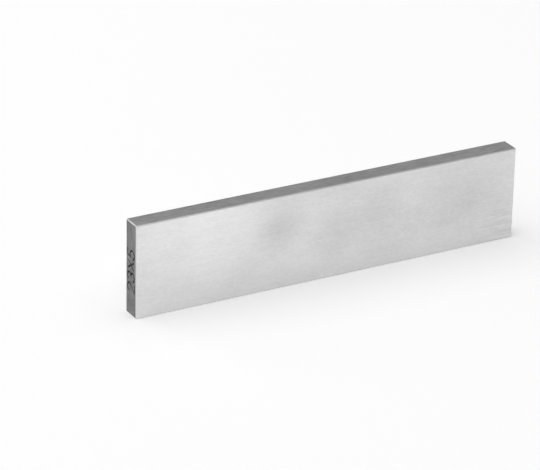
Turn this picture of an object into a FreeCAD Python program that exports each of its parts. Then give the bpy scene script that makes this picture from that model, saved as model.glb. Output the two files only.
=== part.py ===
import FreeCAD, Part
import os
import Sketcher

# A precision parallel: one hardened steel bar, ground on its long faces, with every edge broken.
# Millimetres, +Z up. X runs along the length, Y across the thickness and Z up the height. The origin
# is the middle of the narrow long face that the bar rests on.

# Driving dimensions: alias in the sheet, size, and what it measures.
SIZES = (
    ("length", 100.0, "end to end"),
    ("thickness", 5.0, "between the two wide ground faces"),
    ("height", 23.0, "from the resting face to the face that carries the work"),
    ("long_edge_break", 0.2, "leg of the chamfer along the four long edges"),
    ("end_edge_break", 0.2, "leg of the chamfer round each end face"),
)

# Sketcher's numbers for a line's first and last point, and for the sketch's origin and level axis.
START = 1
FINISH = 2
ORIGIN = (-1, 1)
LEVEL_AXIS = -1


def make_sheet(doc):
    """The spreadsheet that every feature takes its sizes from."""
    sheet = doc.addObject("Spreadsheet::Sheet", "sizes")
    for row, (alias, size, meaning) in enumerate(SIZES, start=1):
        sheet.set(f"A{row}", alias)
        sheet.set(f"B{row}", str(size))
        sheet.set(f"C{row}", meaning)
        sheet.setAlias(f"B{row}", alias)
    doc.recompute()
    return sheet


def section_sketch(body, name):
    """An empty sketch across the bar's middle, on the body's own YZ plane."""
    sketch = body.newObject("Sketcher::SketchObject", name)
    plane = [feature for feature in body.Origin.OriginFeatures if feature.Role == "YZ_Plane"]
    sketch.AttachmentSupport = (plane[0], [""])
    sketch.MapMode = "FlatFace"
    return sketch


def closed_outline(sketch, corners):
    """Lines from corner to corner and back to the first; returns their numbers."""
    following = corners[1:] + corners[:1]
    lines = [Part.LineSegment(first, last) for first, last in zip(corners, following)]
    numbers = list(sketch.addGeometry(lines))
    for line, next_line in zip(numbers, numbers[1:] + numbers[:1]):
        sketch.addConstraint(Sketcher.Constraint("Coincident", line, FINISH, next_line, START))
    return numbers


def bind(sketch, name, kind, points, size, formula):
    """A named distance between two points of the sketch, bound to the sheet."""
    number = sketch.addConstraint(Sketcher.Constraint(kind, *points, size))
    sketch.renameConstraint(number, name)
    sketch.setExpression(f"Constraints.{name}", formula)


def draw_section(body, sheet):
    """The bar's section: a rectangle that stands on the origin, centred on its thickness."""
    sketch = section_sketch(body, "bar_section")
    half = sheet.thickness / 2
    foot, front, top, back = closed_outline(
        sketch,
        [
            FreeCAD.Vector(-half, 0, 0),
            FreeCAD.Vector(half, 0, 0),
            FreeCAD.Vector(half, sheet.height, 0),
            FreeCAD.Vector(-half, sheet.height, 0),
        ],
    )
    sketch.addConstraint(Sketcher.Constraint("Horizontal", top))
    sketch.addConstraint(Sketcher.Constraint("Vertical", front))
    sketch.addConstraint(Sketcher.Constraint("Vertical", back))
    sketch.addConstraint(Sketcher.Constraint("Symmetric", foot, START, foot, FINISH, *ORIGIN))
    across = (foot, START, foot, FINISH)
    bind(sketch, "across", "DistanceX", across, sheet.thickness, "sizes.thickness")
    upright = (front, START, front, FINISH)
    bind(sketch, "upright", "DistanceY", upright, sheet.height, "sizes.height")
    return sketch


def draw_out(body, section):
    """The section drawn out along X, half the length each way."""
    blank = body.newObject("PartDesign::Pad", "bar_blank")
    blank.Profile = section
    blank.SideType = "Symmetric"
    blank.setExpression("Length", "sizes.length")
    return blank


def break_end_edges(body, blank):
    """A 45 degree chamfer round both end faces."""
    names = []
    for number, edge in enumerate(blank.Shape.Edges, start=1):
        if abs(edge.tangentAt(edge.FirstParameter).x) < 0.5:
            names.append(f"Edge{number}")
    chamfer = body.newObject("PartDesign::Chamfer", "end_edges_broken")
    chamfer.Base = (blank, names)
    chamfer.setExpression("Size", "sizes.end_edge_break")


def draw_corner(sketch, sheet, name, side, level, level_formula):
    """The right-angled triangle ground off one long edge: side is -1 or 1, level 0 or the height."""
    leg = sheet.long_edge_break
    half = sheet.thickness / 2
    edge = FreeCAD.Vector(side * half, level, 0)
    inward = FreeCAD.Vector(-side * leg, 0, 0)
    along_face = FreeCAD.Vector(0, leg if level == 0 else -leg, 0)
    across, slope, upright = closed_outline(sketch, [edge, edge + inward, edge + along_face])
    sketch.addConstraint(Sketcher.Constraint("Horizontal", across))
    sketch.addConstraint(Sketcher.Constraint("Vertical", upright))
    sketch.addConstraint(Sketcher.Constraint("Equal", across, upright))

    # A horizontal distance runs from its left point to its right one.
    corner = (across, START)
    inner = (across, FINISH)
    leg_points = inner + corner if side > 0 else corner + inner
    place_points = ORIGIN + corner if side > 0 else corner + ORIGIN
    bind(sketch, f"{name}_leg", "DistanceX", leg_points, leg, "sizes.long_edge_break")
    bind(sketch, f"{name}_place", "DistanceX", place_points, half, "sizes.thickness / 2")
    if level_formula:
        bind(sketch, f"{name}_level", "DistanceY", ORIGIN + corner, level, level_formula)
    else:
        sketch.addConstraint(Sketcher.Constraint("PointOnObject", *corner, LEVEL_AXIS))


def break_long_edges(body, sheet):
    """The four long edges ground off at 45 degrees, from end to end."""
    sketch = section_sketch(body, "long_edge_corners")
    draw_corner(sketch, sheet, "foot_front", -1, 0, None)
    draw_corner(sketch, sheet, "foot_back", 1, 0, None)
    draw_corner(sketch, sheet, "top_front", -1, sheet.height, "sizes.height")
    draw_corner(sketch, sheet, "top_back", 1, sheet.height, "sizes.height")
    pocket = body.newObject("PartDesign::Pocket", "long_edges_broken")
    pocket.Profile = sketch
    pocket.Type = "ThroughAll"
    pocket.SideType = "Symmetric"


def make_bar(doc, sheet):
    """The whole part."""
    body = doc.addObject("PartDesign::Body", "parallel_bar")
    body.Label = "parallel_bar"
    blank = draw_out(body, draw_section(body, sheet))
    doc.recompute()
    break_end_edges(body, blank)
    doc.recompute()
    break_long_edges(body, sheet)
    doc.recompute()
    return body


def check_document(doc):
    """Stops on any feature that failed without raising."""
    for item in doc.Objects:
        if "Invalid" in item.State or "Error" in item.State:
            raise RuntimeError(f"{item.Label} failed: {item.State}")


def write_step(body):
    """One STEP file, named after the body, once its shape is known to be sound."""
    shape = body.Shape
    if shape.isNull() or not shape.isValid() or len(shape.Solids) != 1:
        raise RuntimeError(f"{body.Label} is not one valid solid")
    os.makedirs("parts", exist_ok=True)
    shape.exportStep(f"parts/{body.Label}.step")
    box = shape.BoundBox
    print(
        f"{body.Label}: {box.XLength:.2f} x {box.YLength:.2f} x {box.ZLength:.2f} mm,"
        f" {shape.Volume:.1f} mm3, {len(shape.Faces)} faces"
    )


document = FreeCAD.newDocument("precision_parallel")
size_sheet = make_sheet(document)
bar = make_bar(document, size_sheet)
check_document(document)
write_step(bar)
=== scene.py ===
"""Looks of a precision parallel: a ground steel bar with its size engraved on one end.

Metres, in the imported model's frame: X along the length, Y across the thickness, Z up.
"""

import math

import bmesh
import bpy
import numpy as np
from mathutils import Matrix, Vector


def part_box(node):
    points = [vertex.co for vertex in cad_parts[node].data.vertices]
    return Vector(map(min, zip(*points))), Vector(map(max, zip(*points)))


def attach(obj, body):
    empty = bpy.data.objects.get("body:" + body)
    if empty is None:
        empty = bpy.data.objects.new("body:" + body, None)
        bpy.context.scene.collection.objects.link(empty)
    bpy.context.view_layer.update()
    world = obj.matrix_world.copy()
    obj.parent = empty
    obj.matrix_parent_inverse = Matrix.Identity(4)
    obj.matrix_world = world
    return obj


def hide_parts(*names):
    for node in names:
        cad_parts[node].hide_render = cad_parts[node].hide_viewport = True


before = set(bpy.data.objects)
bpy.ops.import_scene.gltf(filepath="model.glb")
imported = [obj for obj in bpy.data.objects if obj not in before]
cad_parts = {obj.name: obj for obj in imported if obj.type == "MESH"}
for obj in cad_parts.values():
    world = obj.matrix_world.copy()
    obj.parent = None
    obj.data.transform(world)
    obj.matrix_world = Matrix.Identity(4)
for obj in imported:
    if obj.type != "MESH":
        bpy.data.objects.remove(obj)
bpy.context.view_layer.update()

MM = 0.001
NODE = "parallel_bar"

LOW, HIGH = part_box(NODE)

# Edge breaks as in the solid, and the small radius that a stone leaves on every corner of them.
LONG_BREAK = 0.2 * MM
END_BREAK = 0.2 * MM
STONED_RADIUS = 0.03 * MM
STONED_SEGMENTS = 2

# Material indices of the bar's mesh.
SIDE, NARROW, END, BROKEN = range(4)

# How closely a face's normal follows an axis where the face is square to it.
SQUARE = 0.99
# The same for all that is mapped as an end face, which takes in the shallow parts of the grooves.
NEARLY_SQUARE = 0.9

# Engraved numerals: single lines cut by a round-nosed tool, read from the foot upwards.
NUMERALS = "23x5"
NUMERAL_HEIGHT = 3.3 * MM
NUMERAL_WIDTH = 2.1 * MM
NUMERAL_PITCH = 2.75 * MM
TEXT_FOOT = 5.9 * MM
TEXT_OFFSET = 0.10 * MM
STROKE_WIDTH = 0.50 * MM
STROKE_DEPTH = 0.20 * MM
ARC_POINTS = 14

# How far past the groove's edge its blackening has faded out, in half stroke widths.
BLACKENED_PAST = 0.25

# The grid that the numerals are cut into: its step, and the plain margin round it.
ENGRAVED_GRID = 0.06 * MM
ENGRAVED_MARGIN = 0.12 * MM

# How light the ground steel is on average, from 0 to 1.
STEEL_TONE = 0.73

# Faint patches on the wide front face, in millimetres: middle x and z, reach along x and z, and the
# strength in the middle. The first is where the lay shows as streaks, and its strength is how much.
# The others make the steel a little lighter or darker: the lighter one at the upper left is a painted
# highlight, and the rest are darker.
STREAKED_CORNER = (48.0, 3.5, 11.0, 8.0, 1.8)
FRONT_TONE_AND_HIGHLIGHT_PATCHES = (
    # A lighter patch at the upper left: a painted highlight.
    (-36.0, 21.0, 32.0, 17.0, 0.11),
    (-13.0, 15.0, 9.5, 9.0, -0.13),
    (1.0, 10.5, 12.0, 8.5, -0.08),
    (13.0, 15.5, 10.0, 8.0, -0.06),
    (36.0, 14.5, 20.0, 14.0, -0.04),
)

# Size of each texture's features on the ground faces, in millimetres along X, Y and Z.
CLOUDS = (45, 24, 24)
MOTTLES = (5, 2, 2)
FINE_LINES = (14, 0.08, 0.08)
STREAKS = (6, 0.5, 0.5)
STREAKED_AREAS = (24, 9, 9)
GLOSS_CHANGES = (22, 9, 9)

# The same on the end faces and on the broken edges.
END_BLOTCHES = (3.0, 2.0, 3.6)
END_GRAINS = (0.45, 0.4, 0.7)
END_LAY = (0.1, 0.1, 5.0)
END_PITS = (0.3, 0.3, 0.3)
SCUFFS = (2.5, 0.6, 0.6)

# How deep the ground faces' fine lines and the end faces' pits look.
FINE_LINE_DEPTH = 0.0016 * MM
END_PIT_DEPTH = 0.006 * MM

# The floor is a wide shallow dish: flat under the bar, with a low rim that hides the horizon.
FLOOR_FLAT = 0.7
FLOOR_RADIUS = 2.4
FLOOR_RINGS = 40
FLOOR_SEGMENTS = 96
RIM_HEIGHT = 0.30
FLOOR_COLOUR = 0.96
# How much lighter the floor looks than the lamps make it, to the camera and in the steel.
FLOOR_LIFT = 0.21

# The photograph's view: azimuth, elevation and roll in degrees, and the camera's place in metres.
CAMERA_AZIMUTH = -29.37
CAMERA_ELEVATION = 24.62
CAMERA_ROLL = 1.24
CAMERA_PLACE = (-0.3582, -0.6107, 0.3338)

# The camera's focal length and the width of its picture area, in millimetres.
CAMERA_LENS = 225.0
CAMERA_SENSOR = 36.0


# The bar's shape


def corner_insets():
    """The points where the broken edges meet, as distances from the three faces of one corner."""
    tip = LONG_BREAK / 2
    return (
        (0, END_BREAK, END_BREAK),
        (END_BREAK, 0, LONG_BREAK),
        (END_BREAK, LONG_BREAK, 0),
        (END_BREAK - tip, tip, tip),
    )


def bar_blank():
    """The bar with broken edges, before its engraving."""
    bm = bmesh.new()
    middle = (LOW + HIGH) / 2
    half = (HIGH - LOW) / 2
    for side in ((x, y, z) for x in (-1, 1) for y in (-1, 1) for z in (-1, 1)):
        for inset in corner_insets():
            bm.verts.new([middle[i] + side[i] * (half[i] - inset[i]) for i in range(3)])
    bmesh.ops.convex_hull(bm, input=bm.verts)
    bmesh.ops.dissolve_limit(bm, angle_limit=math.radians(1), verts=bm.verts, edges=bm.edges)
    for face in bm.faces:
        largest = max(range(3), key=lambda i: abs(face.normal[i]))
        if abs(face.normal[largest]) < SQUARE:
            face.material_index = BROKEN
        else:
            face.material_index = (END, SIDE, NARROW)[largest]
    bmesh.ops.bevel(
        bm,
        geom=bm.edges,
        offset=STONED_RADIUS,
        segments=STONED_SEGMENTS,
        profile=0.5,
        affect="EDGES",
    )
    return bm


def arc(centre, radius, start, stop):
    """Points of an arc in a numeral's own square, angles in degrees."""
    angles = np.radians(np.linspace(start, stop, ARC_POINTS))
    return [(centre[0] + radius[0] * math.cos(a), centre[1] + radius[1] * math.sin(a)) for a in angles]


def glyph(name):
    """Strokes of one numeral in a unit square, x to the right and y up."""
    if name == "2":
        return [arc((0.5, 0.72), (0.46, 0.28), 165, -35) + [(0.04, 0.0), (0.98, 0.0)]]
    if name == "3":
        upper = arc((0.46, 0.75), (0.42, 0.25), 150, -75)
        lower = arc((0.46, 0.27), (0.50, 0.27), 80, -155)
        return [upper + lower]
    if name == "5":
        bowl = arc((0.44, 0.32), (0.50, 0.32), 118, -150)
        return [[(0.90, 1.0), (0.20, 1.0), (0.14, 0.54)] + bowl]
    if name == "x":
        return [[(0.08, 0.12), (0.92, 0.88)], [(0.08, 0.88), (0.92, 0.12)]]
    raise ValueError(f"no strokes for {name}")


def engraved_strokes():
    """Every stroke on the end face as points (y, z): numerals run up the bar, their tops to the back."""
    middle = (LOW[1] + HIGH[1]) / 2 + TEXT_OFFSET
    strokes = []
    for place, name in enumerate(NUMERALS):
        foot = LOW[2] + TEXT_FOOT + place * NUMERAL_PITCH
        for stroke in glyph(name):
            points = [
                (middle + (y - 0.5) * NUMERAL_HEIGHT, foot + x * NUMERAL_WIDTH) for x, y in stroke
            ]
            strokes.append(np.array(points))
    return strokes


def distance_to_strokes(points, strokes):
    """Shortest distance from each point to any stroke."""
    nearest = np.full(len(points), np.inf)
    for stroke in strokes:
        for first, last in zip(stroke[:-1], stroke[1:]):
            run = last - first
            share = np.clip((points - first) @ run / (run @ run), 0, 1)
            gap = np.linalg.norm(points - first - share[:, None] * run, axis=1)
            nearest = np.minimum(nearest, gap)
    return nearest


def groove_profile(distance):
    """Depth of the cut, and how black it is, at a distance from its centre line."""
    across = distance / (STROKE_WIDTH / 2)
    cut = np.where(across < 1, np.sqrt(np.clip(1 - across**2, 0, 1)), 0)
    return STROKE_DEPTH * cut, np.clip(1 + BLACKENED_PAST - across, 0, 1)


def grid_places(coordinates):
    """Evenly spaced places between the lowest and the highest coordinate, inside the margin."""
    low = min(coordinates) + ENGRAVED_MARGIN
    high = max(coordinates) - ENGRAVED_MARGIN
    return np.arange(low, high, ENGRAVED_GRID)


def engraved_grid(bm, ys, zs):
    """A fine grid of faces in the marked end's plane, which sinks into the numerals' grooves."""
    points = np.array([(y, z) for y in ys for z in zs])
    depth, filled = groove_profile(distance_to_strokes(points, engraved_strokes()))
    mark = bm.verts.layers.float.new("engraved")
    grid = []
    for (y, z), sunk, fill in zip(points, depth, filled):
        vertex = bm.verts.new((LOW[0] + sunk, y, z))
        vertex[mark] = fill
        grid.append(vertex)
    columns = len(zs)
    for i in range(len(ys) - 1):
        for j in range(columns - 1):
            first = i * columns + j
            quad = bm.faces.new(
                (grid[first], grid[first + 1], grid[first + columns + 1], grid[first + columns])
            )
            quad.material_index = END
            quad.smooth = True


def engrave(bm):
    """Replaces the marked end's face by the engraved grid and the plain margin round it."""
    face = max((f for f in bm.faces if f.normal.x < -SQUARE), key=lambda f: f.calc_area())
    ys = grid_places([v.co.y for v in face.verts])
    zs = grid_places([v.co.z for v in face.verts])
    bmesh.ops.delete(bm, geom=[face], context="FACES_ONLY")
    engraved_grid(bm, ys, zs)
    rim = [e for e in bm.edges if e.is_boundary]
    filling = bmesh.ops.triangle_fill(bm, use_beauty=True, use_dissolve=False, edges=rim)
    for item in filling["geom"]:
        if isinstance(item, bmesh.types.BMFace):
            item.material_index = END
    bmesh.ops.recalc_face_normals(bm, faces=bm.faces)


def lay_map(bm):
    """A map whose first coordinate follows the grinding marks: along X, or up the end faces."""
    layer = bm.loops.layers.uv.new("lay")
    for face in bm.faces:
        for loop in face.loops:
            x, y, z = loop.vert.co
            if abs(face.normal.x) > NEARLY_SQUARE:
                loop[layer].uv = (z, y)
            elif abs(face.normal.z) > abs(face.normal.y):
                loop[layer].uv = (x, y)
            else:
                loop[layer].uv = (x, z)


# The bar's materials


class Nodes:
    """A material's node tree with short calls for the nodes used below."""

    def __init__(self, name):
        self.material = bpy.data.materials.new(name)
        self.material.use_nodes = True
        self.tree = self.material.node_tree
        self.shader = self.tree.nodes["Principled BSDF"]
        self.place = self.tree.nodes.new("ShaderNodeTexCoord").outputs["Object"]

    def join(self, output, target):
        """Links a node's output to an input."""
        self.tree.links.new(output, target)

    def noise(self, grain, detail, seed, roughness=0.55):
        """Noise whose features measure about grain, in millimetres along X, Y and Z."""
        mapping = self.tree.nodes.new("ShaderNodeMapping")
        mapping.inputs["Scale"].default_value = [1 / (g * MM) for g in grain]
        mapping.inputs["Location"].default_value = (seed, seed * 1.7, seed * 0.6)
        self.join(self.place, mapping.inputs["Vector"])
        node = self.tree.nodes.new("ShaderNodeTexNoise")
        node.inputs["Scale"].default_value = 1.0
        node.inputs["Detail"].default_value = detail
        node.inputs["Roughness"].default_value = roughness
        self.join(mapping.outputs["Vector"], node.inputs["Vector"])
        return node.outputs["Fac"]

    def spread(self, value, low, high, first=0.25, last=0.75, smooth=False):
        """Maps first..last of a value onto low..high."""
        node = self.tree.nodes.new("ShaderNodeMapRange")
        node.interpolation_type = "SMOOTHSTEP" if smooth else "LINEAR"
        for name, number in (("From Min", first), ("From Max", last), ("To Min", low), ("To Max", high)):
            node.inputs[name].default_value = number
        self.join(value, node.inputs["Value"])
        return node.outputs["Result"]

    def patch(self, x, z, reach_x, reach_z, strength):
        """A soft patch on the wide front face: strength in its middle and nothing past its reach."""
        through = (HIGH[1] - LOW[1]) / MM
        reach = (reach_x, through, reach_z)
        middle = (x, LOW[1] / MM, z)
        mapping = self.tree.nodes.new("ShaderNodeMapping")
        mapping.inputs["Scale"].default_value = [1 / (r * MM) for r in reach]
        mapping.inputs["Location"].default_value = [-m / r for m, r in zip(middle, reach)]
        self.join(self.place, mapping.inputs["Vector"])
        ball = self.tree.nodes.new("ShaderNodeTexGradient")
        ball.gradient_type = "SPHERICAL"
        self.join(mapping.outputs["Vector"], ball.inputs["Vector"])
        return self.spread(ball.outputs["Fac"], 0.0, strength, first=0.0, last=1.0, smooth=True)

    def sum(self, first, *others, how="ADD"):
        """Adds, or otherwise combines, several values."""
        total = first
        for other in others:
            node = self.tree.nodes.new("ShaderNodeMath")
            node.operation = how
            self.join(total, node.inputs[0])
            self.join(other, node.inputs[1])
            total = node.outputs[0]
        return total

    def colour(self, tone):
        """Makes the steel a grey of this tone."""
        node = self.tree.nodes.new("ShaderNodeCombineColor")
        for channel in ("Red", "Green", "Blue"):
            self.join(tone, node.inputs[channel])
        self.join(node.outputs["Color"], self.shader.inputs["Base Color"])

    def roughness(self, value):
        """Sets how dull the steel is."""
        self.join(value, self.shader.inputs["Roughness"])

    def bump(self, height, distance):
        """Raises and sinks the surface by a height times a distance."""
        node = self.tree.nodes.new("ShaderNodeBump")
        node.inputs["Distance"].default_value = distance
        self.join(height, node.inputs["Height"])
        self.join(node.outputs["Normal"], self.shader.inputs["Normal"])

    def metal(self, anisotropic, rotation):
        """Bare metal whose gloss is drawn out by the lay."""
        self.shader.inputs["Metallic"].default_value = 1.0
        self.shader.inputs["Anisotropic"].default_value = anisotropic
        self.shader.inputs["Anisotropic Rotation"].default_value = rotation
        tangent = self.tree.nodes.new("ShaderNodeTangent")
        tangent.direction_type = "UV_MAP"
        tangent.uv_map = "lay"
        self.join(tangent.outputs["Tangent"], self.shader.inputs["Tangent"])


def ground_steel(name, clouding, speckle, grain, mottling, lines, seed, streaked=None, patches=()):
    """Ground steel: soft clouds, fine speckle, and a lay of fine lines along X that hardly shows."""
    n = Nodes(name)
    n.metal(anisotropic=0.4, rotation=0.25)
    clouds = n.noise(CLOUDS, detail=3.0, seed=seed, roughness=0.6)
    base = n.spread(clouds, STEEL_TONE - clouding, STEEL_TONE + clouding)
    spots = n.spread(n.noise(grain, detail=3.0, seed=7.3, roughness=0.5), -speckle, speckle)
    mottles = n.spread(n.noise(MOTTLES, detail=2.0, seed=12.4), -mottling, mottling)
    fine_lines = n.spread(n.noise(FINE_LINES, detail=1.0, seed=9.2), -lines, lines)

    streaks = n.spread(n.noise(STREAKS, detail=2.0, seed=1.9), -0.07, 0.03)
    areas = n.noise(STREAKED_AREAS, detail=1.0, seed=30.2)
    shown = n.spread(areas, 0.1, 0.4, first=0.5, last=0.68, smooth=True)
    if streaked:
        shown = n.sum(shown, n.patch(*streaked))
    coarse_lay = n.sum(streaks, shown, how="MULTIPLY")

    # Lighter and darker patches on the front; the lighter one at the upper left is a painted highlight.
    marks = [n.patch(*patch) for patch in patches]
    n.colour(n.sum(base, spots, mottles, fine_lines, coarse_lay, *marks))
    n.roughness(n.spread(n.noise(GLOSS_CHANGES, detail=3.0, seed=5.5), 0.32, 0.38))
    n.bump(fine_lines, FINE_LINE_DEPTH / lines)
    return n.material


def end_steel():
    """The end faces: darker, granular steel with a faint upright lay, and the cut numerals blackened;
    their dark grey is partly a painted reflection of a dark surface beside the bar.
    """
    n = Nodes("end_steel")
    n.metal(anisotropic=0.2, rotation=0.0)
    blotches = n.noise(END_BLOTCHES, detail=4.0, seed=2.2, roughness=0.62)
    grains = n.spread(n.noise(END_GRAINS, detail=2.0, seed=4.4), -0.045, 0.045)
    lay = n.spread(n.noise(END_LAY, detail=1.0, seed=3.7), -0.028, 0.028)
    texture = n.sum(n.spread(blotches, -0.05, 0.05), grains, lay)
    # The ends' dark grey is duller steel and partly a painted reflection of a dark surface beside the
    # bar.
    steel = n.spread(texture, 0.08, 0.35, first=-0.1, last=0.1)

    mark = n.tree.nodes.new("ShaderNodeAttribute")
    mark.attribute_name = "engraved"
    kept = n.spread(mark.outputs["Fac"], 1.0, 0.10, first=0.1, last=0.8)
    n.colour(n.sum(steel, kept, how="MULTIPLY"))
    n.roughness(n.spread(grains, 0.42, 0.56, first=-0.05, last=0.05))
    n.bump(n.noise(END_PITS, detail=3.0, seed=6.1), END_PIT_DEPTH)
    return n.material


def broken_edge_steel():
    """The stoned edge breaks: a little duller than the ground faces."""
    n = Nodes("broken_edge_steel")
    n.metal(anisotropic=0.3, rotation=0.25)
    scuffs = n.noise(SCUFFS, detail=3.0, seed=8.8)
    n.colour(n.spread(scuffs, 0.66, 0.72))
    n.roughness(n.spread(scuffs, 0.44, 0.38))
    return n.material


def bar_materials():
    """The bar's four materials, in the order of their indices."""
    sides = ground_steel(
        "side_steel",
        clouding=0.07,
        speckle=0.034,
        grain=(0.9, 0.5, 0.5),
        mottling=0.012,
        lines=0.025,
        # This seed puts the clouds' lighter part towards the -X end: uneven tone that is also a painted
        # highlight there.
        seed=88.3,
        streaked=STREAKED_CORNER,
        patches=FRONT_TONE_AND_HIGHLIGHT_PATCHES,
    )
    narrow_faces = ground_steel(
        "narrow_steel",
        clouding=0.14,
        speckle=0.11,
        grain=(2.4, 0.55, 0.55),
        mottling=0.05,
        lines=0.09,
        seed=140.8,
    )
    return sides, narrow_faces, end_steel(), broken_edge_steel()


def make_bar():
    """The whole bar as one mesh."""
    bm = bar_blank()
    engrave(bm)
    lay_map(bm)
    mesh = bpy.data.meshes.new("ground_bar")
    bm.to_mesh(mesh)
    bm.free()
    for material in bar_materials():
        mesh.materials.append(material)
    bar = bpy.data.objects.new("ground_bar", mesh)
    bpy.context.collection.objects.link(bar)
    return bar


# The floor


def floor_ring(bm, number):
    """The points of one ring of the dish, counted from its middle."""
    radius = FLOOR_RADIUS * number / FLOOR_RINGS
    rise = max(0.0, (radius - FLOOR_FLAT) / (FLOOR_RADIUS - FLOOR_FLAT))
    height = RIM_HEIGHT * rise**2
    turns = [2 * math.pi * k / FLOOR_SEGMENTS for k in range(FLOOR_SEGMENTS)]
    return [bm.verts.new((radius * math.cos(t), radius * math.sin(t), height)) for t in turns]


def floor_mesh():
    """The dish, from its middle to its rim."""
    bm = bmesh.new()
    centre = bm.verts.new((0, 0, 0))
    rings = [floor_ring(bm, number) for number in range(1, FLOOR_RINGS + 1)]
    steps = [(k, (k + 1) % FLOOR_SEGMENTS) for k in range(FLOOR_SEGMENTS)]
    for k, after in steps:
        bm.faces.new((centre, rings[0][k], rings[0][after]))
    for inner, outer in zip(rings[:-1], rings[1:]):
        for k, after in steps:
            bm.faces.new((inner[k], outer[k], outer[after], inner[after]))
    for face in bm.faces:
        face.smooth = True
    mesh = bpy.data.meshes.new("floor")
    bm.to_mesh(mesh)
    bm.free()
    return mesh


def lift_floor(tree, shader):
    """Adds FLOOR_LIFT to what is seen of the floor, and nothing to the light that it sheds."""
    path = tree.nodes.new("ShaderNodeLightPath")
    seen = path.outputs["Is Camera Ray"]
    for kind in ("Is Glossy Ray", "Is Transmission Ray"):
        either = tree.nodes.new("ShaderNodeMath")
        either.operation = "MAXIMUM"
        tree.links.new(seen, either.inputs[0])
        tree.links.new(path.outputs[kind], either.inputs[1])
        seen = either.outputs[0]
    lift = tree.nodes.new("ShaderNodeMath")
    lift.operation = "MULTIPLY"
    lift.inputs[1].default_value = FLOOR_LIFT
    tree.links.new(seen, lift.inputs[0])
    tree.links.new(lift.outputs[0], shader.inputs["Emission Strength"])
    shader.inputs["Emission Color"].default_value = (1, 1, 1, 1)


def floor_white():
    """Matt and nearly white, lifted where it is seen."""
    material = bpy.data.materials.new("floor_white")
    material.use_nodes = True
    shader = material.node_tree.nodes["Principled BSDF"]
    shader.inputs["Base Color"].default_value = (FLOOR_COLOUR, FLOOR_COLOUR, FLOOR_COLOUR, 1)
    shader.inputs["Roughness"].default_value = 1.0
    shader.inputs["Specular IOR Level"].default_value = 0.0
    lift_floor(material.node_tree, shader)
    return material


def make_floor():
    """The pale floor that the bar stands on."""
    mesh = floor_mesh()
    mesh.materials.append(floor_white())
    floor = bpy.data.objects.new("floor", mesh)
    bpy.context.collection.objects.link(floor)


# Light and camera


def direction(azimuth, elevation):
    """The way from the bar, from angles in degrees: azimuth 0 is in front, 90 beyond its +X end."""
    turn, rise = math.radians(azimuth), math.radians(elevation)
    return Vector(
        (math.sin(turn) * math.cos(rise), -math.cos(turn) * math.cos(rise), math.sin(rise))
    )


def make_world(level):
    """Even grey surroundings, which the upper faces mirror."""
    world = bpy.data.worlds.new("studio")
    world.use_nodes = True
    background = world.node_tree.nodes["Background"]
    background.inputs["Color"].default_value = (1, 1, 1, 1)
    background.inputs["Strength"].default_value = level
    bpy.context.scene.world = world


def soft_lamp(name, azimuth, elevation, distance, size, power):
    """A square softbox that faces the bar, sizes in metres and power in watts."""
    towards = direction(azimuth, elevation)
    light = bpy.data.lights.new(name, "AREA")
    light.shape = "SQUARE"
    light.size = size
    light.energy = power
    lamp = bpy.data.objects.new(name, light)
    lamp.location = towards * distance
    lamp.rotation_euler = towards.to_track_quat("Z", "Y").to_euler()
    bpy.context.collection.objects.link(lamp)


def make_camera():
    """A plain camera: no shift and no depth of field."""
    data = bpy.data.cameras.new("camera")
    data.lens = CAMERA_LENS
    data.sensor_width = CAMERA_SENSOR
    camera = bpy.data.objects.new("camera", data)
    aimed = direction(CAMERA_AZIMUTH, CAMERA_ELEVATION).to_track_quat("Z", "Y").to_matrix()
    rolled = aimed @ Matrix.Rotation(math.radians(CAMERA_ROLL), 3, "Z")
    camera.matrix_world = Matrix.Translation(CAMERA_PLACE) @ rolled.to_4x4()
    bpy.context.collection.objects.link(camera)
    bpy.context.scene.camera = camera


bar = make_bar()
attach(bar, "root")
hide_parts(NODE)

make_floor()
make_world(level=0.22)
soft_lamp("key", azimuth=-84, elevation=74, distance=2.4, size=4.8, power=75.0)
soft_lamp("edge", azimuth=207, elevation=28, distance=0.8, size=0.25, power=0.3)
make_camera()

bpy.context.scene.view_settings.view_transform = "Standard"
